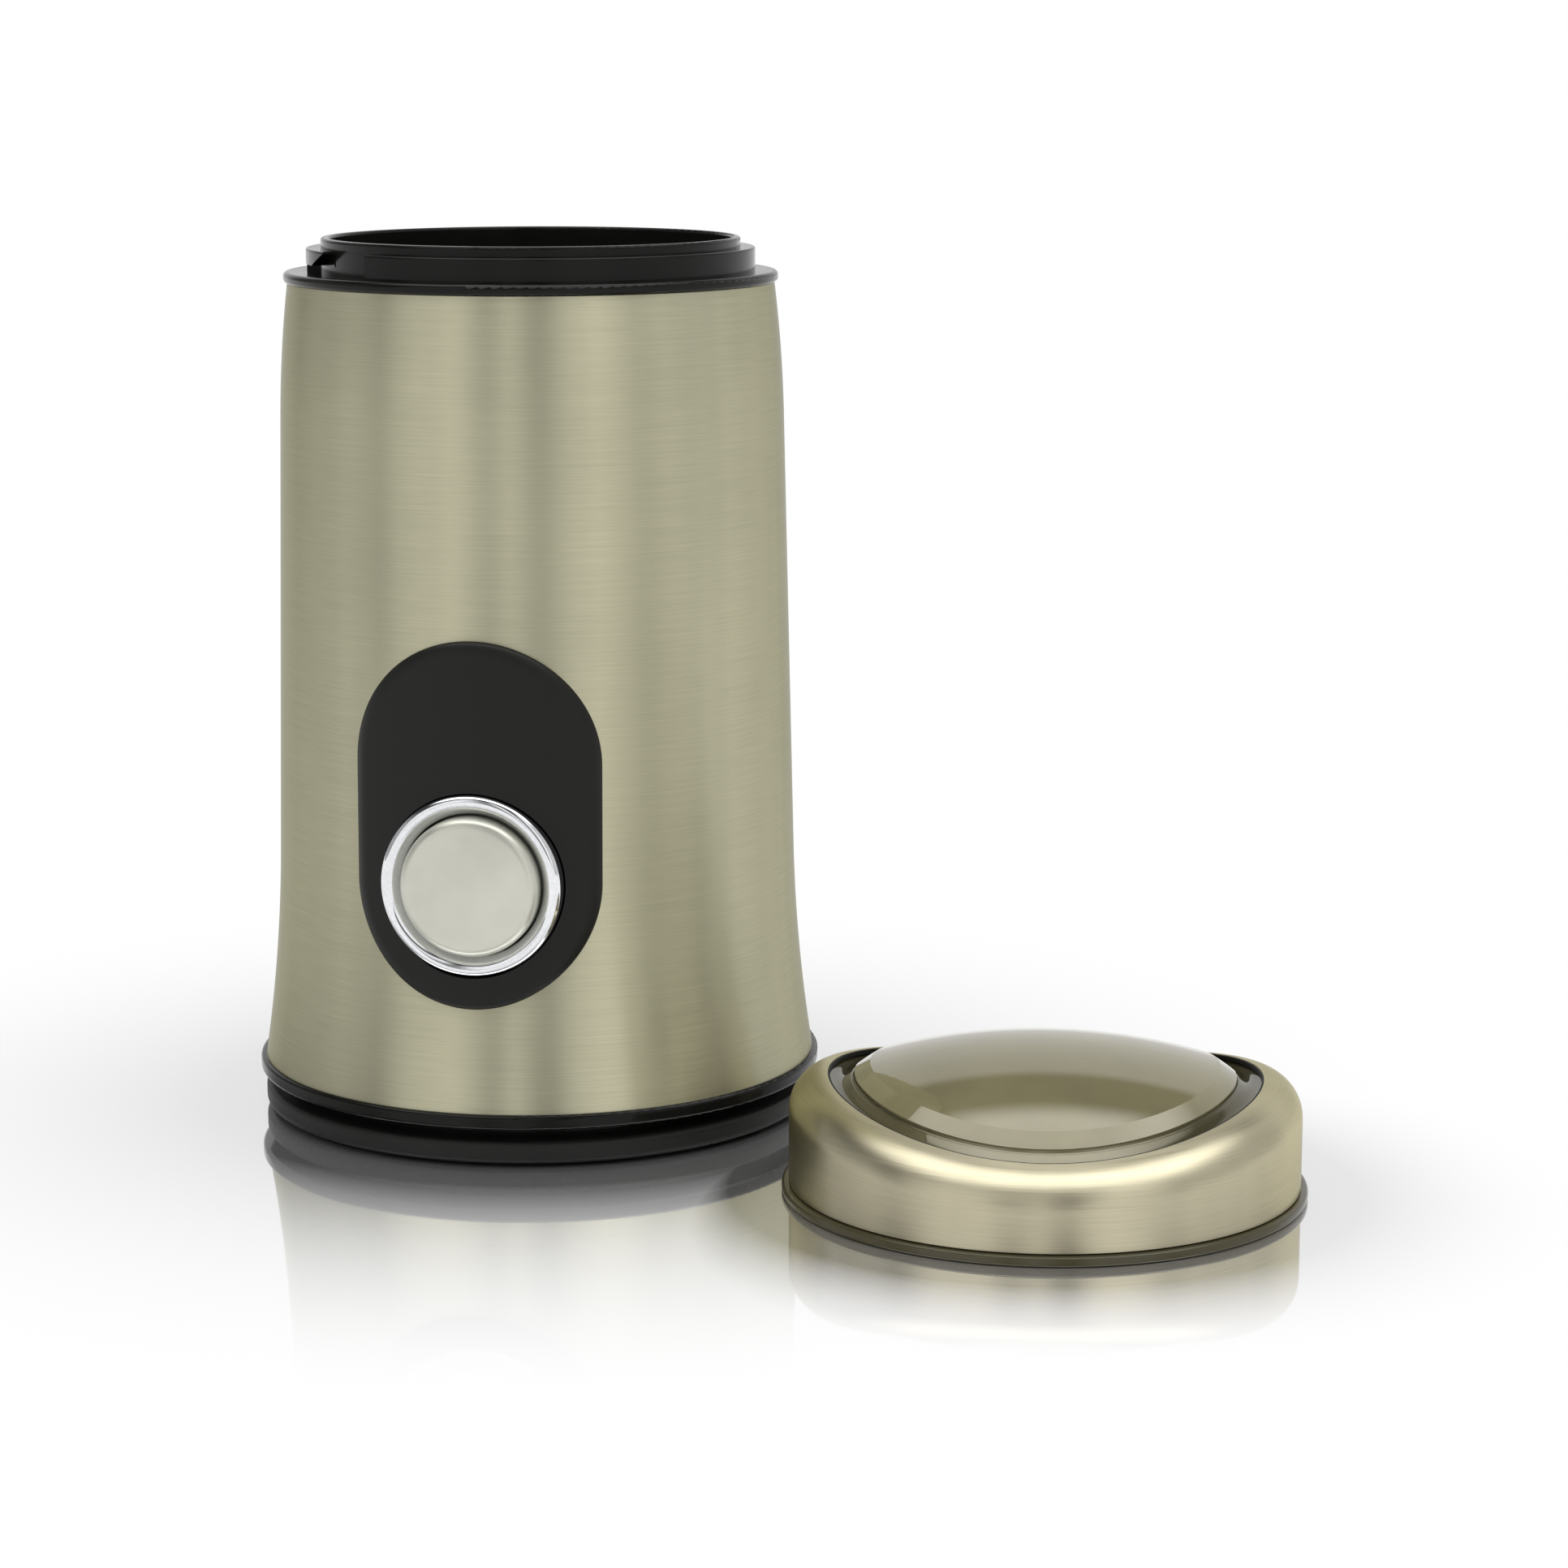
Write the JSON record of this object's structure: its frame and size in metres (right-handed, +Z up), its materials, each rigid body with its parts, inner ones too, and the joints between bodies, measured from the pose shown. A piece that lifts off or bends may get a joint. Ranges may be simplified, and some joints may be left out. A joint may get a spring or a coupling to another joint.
{
  "type": "electric coffee grinder",
  "caption": "Electric blade coffee grinder with a flared brushed steel body, black panel with a round push button, inner bowl with a blade, and a removable domed smoke-tinted lid.",
  "frame": {"origin": "on the table, under the axis of the body, at the rubber pad's lower face", "axes": "+Z up along the motor's axis; -Y is the front, where the push button faces; +X to the right, where the lid lies"},
  "size_m": [0.1885, 0.1371, 0.1526],
  "materials": {
    "sleeve_steel": "fine horizontal brushing, satin",
    "lid_steel": "fine brushing round the lid, satin",
    "collar_black": "glossy moulded black",
    "ring_black": "glossy moulded black",
    "plate_black": "fine spark-eroded texture, black",
    "panel_black": "matte charcoal",
    "button_silver": "satin silver paint",
    "bezel_chrome": "mirror chrome",
    "smoke_clear": "smoke-tinted clear, polished",
    "bowl_steel": "turned stainless steel",
    "blade_steel": "ground stainless steel",
    "bright_steel": "bright plated steel",
    "pad_rubber": "matte black rubber",
    "seal_rubber": "dark grey silicone rubber",
    "housing_grey": "moulded dark grey",
    "lamination": "stacked electrical steel",
    "copper": "enamelled copper wire",
    "bracket_zinc": "die-cast, as cast",
    "bush_bronze": "sintered bronze",
    "carbon": "pressed carbon",
    "fan_white": "natural nylon",
    "switch_black": "moulded black",
    "plunger_red": "moulded red",
    "terminal_white": "natural nylon",
    "capacitor_yellow": "moulded case"
  },
  "bodies": {
    "body": {"steel_sleeve": "sleeve_steel", "base_ring": "ring_black", "foot_plate": "plate_black", "foot_pad": "pad_rubber", "foot_screws": "bright_steel", "cord_gland": "pad_rubber", "inner_housing": "housing_grey", "housing_screws": "bright_steel", "top_collar": "collar_black", "grinding_bowl": "bowl_steel", "bowl_gasket": "seal_rubber", "shaft_seal": "seal_rubber", "stator_core": "lamination", "field_coils": "copper", "upper_bearing": "bush_bronze", "lower_bearing": "bush_bronze", "upper_bracket": "bracket_zinc", "lower_bracket": "bracket_zinc", "motor_screws": "bright_steel", "motor_mounts": "seal_rubber", "brush_holders": "terminal_white", "carbon_brushes": "carbon", "brush_springs": "bright_steel", "control_panel": "panel_black", "button_bezel": "bezel_chrome", "button_spring": "bright_steel", "switch_carrier": "housing_grey", "power_switch": "switch_black", "interlock_spring": "bright_steel", "interlock_switch": "switch_black", "terminal_block": "terminal_white", "suppressor": "capacitor_yellow"},
    "lid": {"lid_cover": "smoke_clear", "lid_band": "lid_steel"},
    "rotor": {"motor_shaft": "bright_steel", "blade_hub": "housing_grey", "blade": "blade_steel", "blade_nut": "bright_steel", "armature_core": "lamination", "armature_winding": "copper", "commutator": "copper", "cooling_fan": "fan_white"},
    "button": {"button_cap": "button_silver", "button_clip": "bright_steel"},
    "switch_plunger": {"switch_plunger": "plunger_red"},
    "interlock_pin": {"interlock_pin": "terminal_white"},
    "interlock_plunger": {"interlock_plunger": "plunger_red"}
  },
  "joints": [
    {"name": "lid_lift", "type": "slide", "parent": "body", "child": "lid", "axis": [0, 0, 1], "range_m": [0, 0.2]},
    {"name": "rotor_spin", "type": "hinge", "parent": "body", "child": "rotor", "pos_m": [0, 0, 0], "axis": [0, 0, 1], "continuous": true},
    {"name": "button_press", "type": "slide", "parent": "body", "child": "button", "axis": [0, 1, 0], "range_m": [0, 0.0025], "stiffness_N_per_m": 1200, "springref_m": -0.0015, "deforming": ["button_spring"]},
    {"name": "switch_press", "type": "slide", "parent": "body", "child": "switch_plunger", "axis": [0, 1, 0], "range_m": [0, 0.0025]},
    {"name": "interlock_press", "type": "slide", "parent": "body", "child": "interlock_pin", "axis": [0, 0, -1], "range_m": [0, 0.0011], "stiffness_N_per_m": 1500, "springref_m": -0.001, "deforming": ["interlock_spring"]},
    {"name": "interlock_switch_press", "type": "slide", "parent": "body", "child": "interlock_plunger", "axis": [0, 0, -1], "range_m": [0, 0.0011]}
  ],
  "couplings": [
    {"joint": "switch_press", "follows": "button_press", "ratio": 1},
    {"joint": "interlock_switch_press", "follows": "interlock_press", "ratio": 1}
  ]
}
